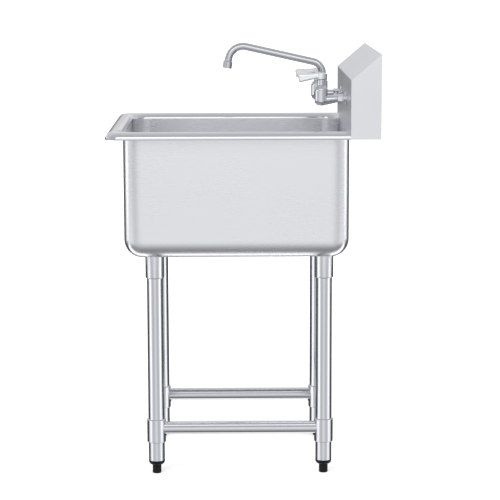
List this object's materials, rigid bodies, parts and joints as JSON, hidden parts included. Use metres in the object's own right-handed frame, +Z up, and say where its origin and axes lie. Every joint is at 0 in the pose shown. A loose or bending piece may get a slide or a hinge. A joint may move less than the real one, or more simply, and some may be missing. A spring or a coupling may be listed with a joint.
{
  "type": "utility sink",
  "caption": "Free-standing utility sink on tube legs: deep bowl with rolled rim, boxed splashback, wall-fed faucet with two levers and a swing spout, adjustable feet.",
  "frame": {"origin": "on the floor under the middle of the overall box", "axes": "+Z up, +X to the user's right, +Y to the wall"},
  "size_m": [0.61, 0.681, 1.097],
  "materials": {
    "stainless_steel": "brushed",
    "chrome_plated_brass": "polished",
    "polished_steel": "polished",
    "black_oxide_steel": "matte",
    "zinc_plated_steel": "satin",
    "bare_brass": "machined",
    "black_plastic": "satin",
    "white_plastic": "satin",
    "grey_plastic": "satin",
    "black_rubber": "matte"
  },
  "bodies": {
    "sink": {"bowl": "stainless_steel", "rim_front": "stainless_steel", "rim_left": "stainless_steel", "rim_right": "stainless_steel", "splash_panel": "stainless_steel", "splash_cap_left": "stainless_steel", "splash_cap_right": "stainless_steel", "leg_socket_front_left": "stainless_steel", "leg_socket_front_right": "stainless_steel", "leg_socket_rear_left": "stainless_steel", "leg_socket_rear_right": "stainless_steel", "leg_front_left": "stainless_steel", "leg_front_right": "stainless_steel", "leg_rear_left": "stainless_steel", "leg_rear_right": "stainless_steel", "brace_socket_front_left": "stainless_steel", "brace_socket_front_right": "stainless_steel", "brace_socket_rear_left": "stainless_steel", "brace_socket_rear_right": "stainless_steel", "side_brace_left": "stainless_steel", "side_brace_right": "stainless_steel", "socket_screws": "black_oxide_steel", "foot_insert_front_left": "black_plastic", "foot_insert_front_right": "black_plastic", "foot_insert_rear_left": "black_plastic", "foot_insert_rear_right": "black_plastic", "faucet_body": "chrome_plated_brass", "coupling_nuts": "chrome_plated_brass", "inlet_shanks": "chrome_plated_brass", "wall_flanges": "chrome_plated_brass", "shank_locknuts": "bare_brass", "inlet_washers": "black_rubber", "bonnets": "chrome_plated_brass", "cartridges": "white_plastic", "spout_nut": "chrome_plated_brass", "drain_body": "polished_steel", "drain_gasket": "black_rubber", "drain_locknut": "polished_steel"},
    "spout_arm": {"spout": "chrome_plated_brass", "spout_seals": "black_rubber", "aerator": "chrome_plated_brass", "aerator_insert": "grey_plastic"},
    "hot_lever": {"lever_left": "chrome_plated_brass", "lever_screw_left": "chrome_plated_brass", "valve_stem_left": "bare_brass"},
    "cold_lever": {"lever_right": "chrome_plated_brass", "lever_screw_right": "chrome_plated_brass", "valve_stem_right": "bare_brass"},
    "strainer": {"basket_strainer": "polished_steel", "basket_knob": "polished_steel", "basket_stopper": "black_rubber"},
    "front_left_foot": {"foot_front_left": "black_plastic", "foot_stud_front_left": "zinc_plated_steel"},
    "front_right_foot": {"foot_front_right": "black_plastic", "foot_stud_front_right": "zinc_plated_steel"},
    "rear_left_foot": {"foot_rear_left": "black_plastic", "foot_stud_rear_left": "zinc_plated_steel"},
    "rear_right_foot": {"foot_rear_right": "black_plastic", "foot_stud_rear_right": "zinc_plated_steel"}
  },
  "joints": [
    {"name": "spout_swing", "type": "hinge", "parent": "sink", "child": "spout_arm", "pos_m": [0, 0.2094, 1], "axis": [0, 0, 1], "range_deg": [-90, 90]},
    {"name": "hot_lever_turn", "type": "hinge", "parent": "sink", "child": "hot_lever", "pos_m": [-0.1016, 0.2013, 1.01], "axis": [0, 0, 1], "range_deg": [-90, 0]},
    {"name": "cold_lever_turn", "type": "hinge", "parent": "sink", "child": "cold_lever", "pos_m": [0.1016, 0.2013, 1.01], "axis": [0, 0, 1], "range_deg": [0, 90]},
    {"name": "strainer_lift", "type": "slide", "parent": "sink", "child": "strainer", "axis": [0, 0, 1], "range_m": [0, 0.345]},
    {"name": "front_left_foot_adjust", "type": "slide", "parent": "sink", "child": "front_left_foot", "axis": [0, 0, -1], "range_m": [0, 0.02]},
    {"name": "front_right_foot_adjust", "type": "slide", "parent": "sink", "child": "front_right_foot", "axis": [0, 0, -1], "range_m": [0, 0.02]},
    {"name": "rear_left_foot_adjust", "type": "slide", "parent": "sink", "child": "rear_left_foot", "axis": [0, 0, -1], "range_m": [0, 0.02]},
    {"name": "rear_right_foot_adjust", "type": "slide", "parent": "sink", "child": "rear_right_foot", "axis": [0, 0, -1], "range_m": [0, 0.02]}
  ]
}
